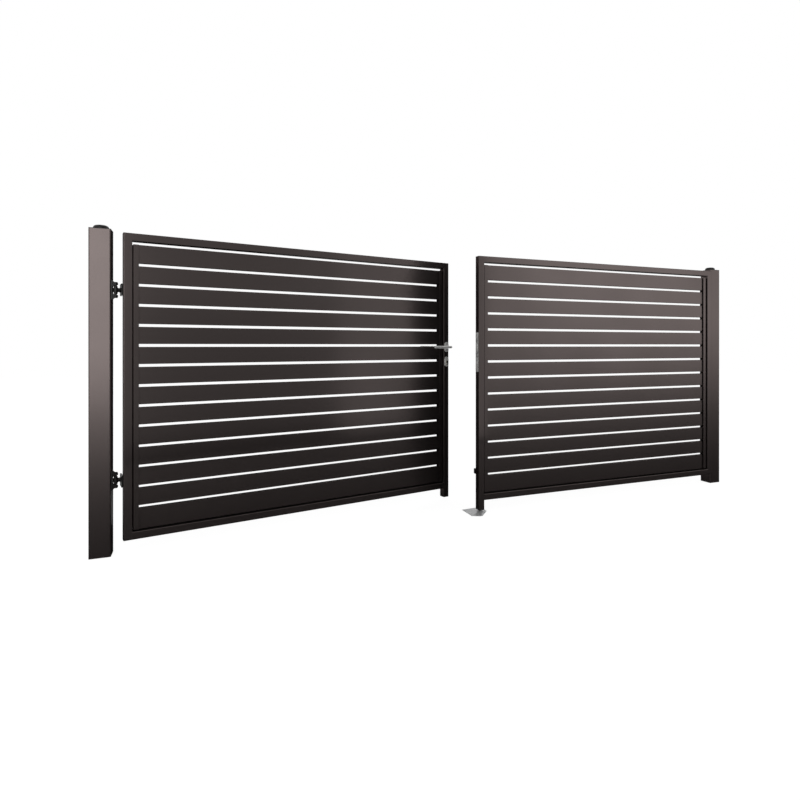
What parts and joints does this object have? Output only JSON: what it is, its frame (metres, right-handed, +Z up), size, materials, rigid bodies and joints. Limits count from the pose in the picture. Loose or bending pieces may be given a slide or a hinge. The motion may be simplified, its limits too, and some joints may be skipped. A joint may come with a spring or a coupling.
{
  "type": "swing driveway gate",
  "caption": "Double-leaf swing driveway gate: square posts, tube-framed leaves with horizontal boards, adjustable hinges, lever lock, drop bolt and ground stop.",
  "frame": {"origin": "centre of the left post's flat foot, at ground level", "axes": "+X along the gate from the left post to the right post, +Y into the property, the way the leaves swing, +Z up"},
  "size_m": [4.326, 0.5699, 1.711],
  "materials": {
    "painted_steel_post": "fine matt dark brown powder coat",
    "painted_steel_leaf": "fine matt dark brown powder coat",
    "cap_plastic": "black moulded plastic, satin",
    "hinge_steel": "black coated steel with bare thread",
    "stainless": "brushed stainless steel",
    "zinc": "dull zinc coating",
    "brass_cylinder": "satin nickel over brass",
    "bolt_steel": "bright steel bolt"
  },
  "bodies": {
    "posts": {"left_post": "painted_steel_post", "right_post": "painted_steel_post", "left_post_cap": "cap_plastic", "right_post_cap": "cap_plastic", "ground_stop": "zinc", "left_upper_hinge_bracket": "hinge_steel", "left_lower_hinge_bracket": "hinge_steel", "right_upper_hinge_bracket": "hinge_steel", "right_lower_hinge_bracket": "hinge_steel"},
    "left_leaf": {"left_hinge_stile": "painted_steel_leaf", "left_lock_stile": "painted_steel_leaf", "left_top_rail": "painted_steel_leaf", "left_bottom_rail": "painted_steel_leaf", "left_boards": "painted_steel_leaf", "left_board_channels": "painted_steel_leaf", "left_upper_hinge_eye": "hinge_steel", "left_lower_hinge_eye": "hinge_steel", "left_leg_plug": "cap_plastic", "lock_faceplate": "stainless", "lock_cylinder": "brass_cylinder", "lever_rosette_front": "stainless", "lever_rosette_back": "stainless", "cylinder_rosette_front": "stainless", "cylinder_rosette_back": "stainless"},
    "lever": {"lever_front": "stainless", "lever_back": "stainless", "lever_spindle": "bolt_steel"},
    "right_leaf": {"right_hinge_stile": "painted_steel_leaf", "right_lock_stile": "painted_steel_leaf", "right_top_rail": "painted_steel_leaf", "right_bottom_rail": "painted_steel_leaf", "right_boards": "painted_steel_leaf", "right_board_channels": "painted_steel_leaf", "right_upper_hinge_eye": "hinge_steel", "right_lower_hinge_eye": "hinge_steel", "right_leg_guide": "cap_plastic", "strike_plate": "stainless", "drop_bolt_cover": "hinge_steel"},
    "drop_bolt": {"drop_bolt_rod": "bolt_steel", "drop_bolt_knob": "cap_plastic"}
  },
  "joints": [
    {"name": "left_leaf_swing", "type": "hinge", "parent": "posts", "child": "left_leaf", "pos_m": [0.07, -0.031, 0], "axis": [0, 0, 1], "range_deg": [-11.5, 78.5]},
    {"name": "right_leaf_swing", "type": "hinge", "parent": "posts", "child": "right_leaf", "pos_m": [4.156, -0.031, 0], "axis": [0, 0, -1], "range_deg": [0, 90]},
    {"name": "lever_turn", "type": "hinge", "parent": "left_leaf", "child": "lever", "pos_m": [2.05491, 0.31977, 1.077], "axis": [0.1994, -0.9799, 0], "range_deg": [0, 45], "stiffness_Nm_per_rad": 1, "springref_deg": -45.84},
    {"name": "drop_bolt_slide", "type": "slide", "parent": "right_leaf", "child": "drop_bolt", "axis": [0, 0, 1], "range_m": [-0.022, 0]}
  ]
}
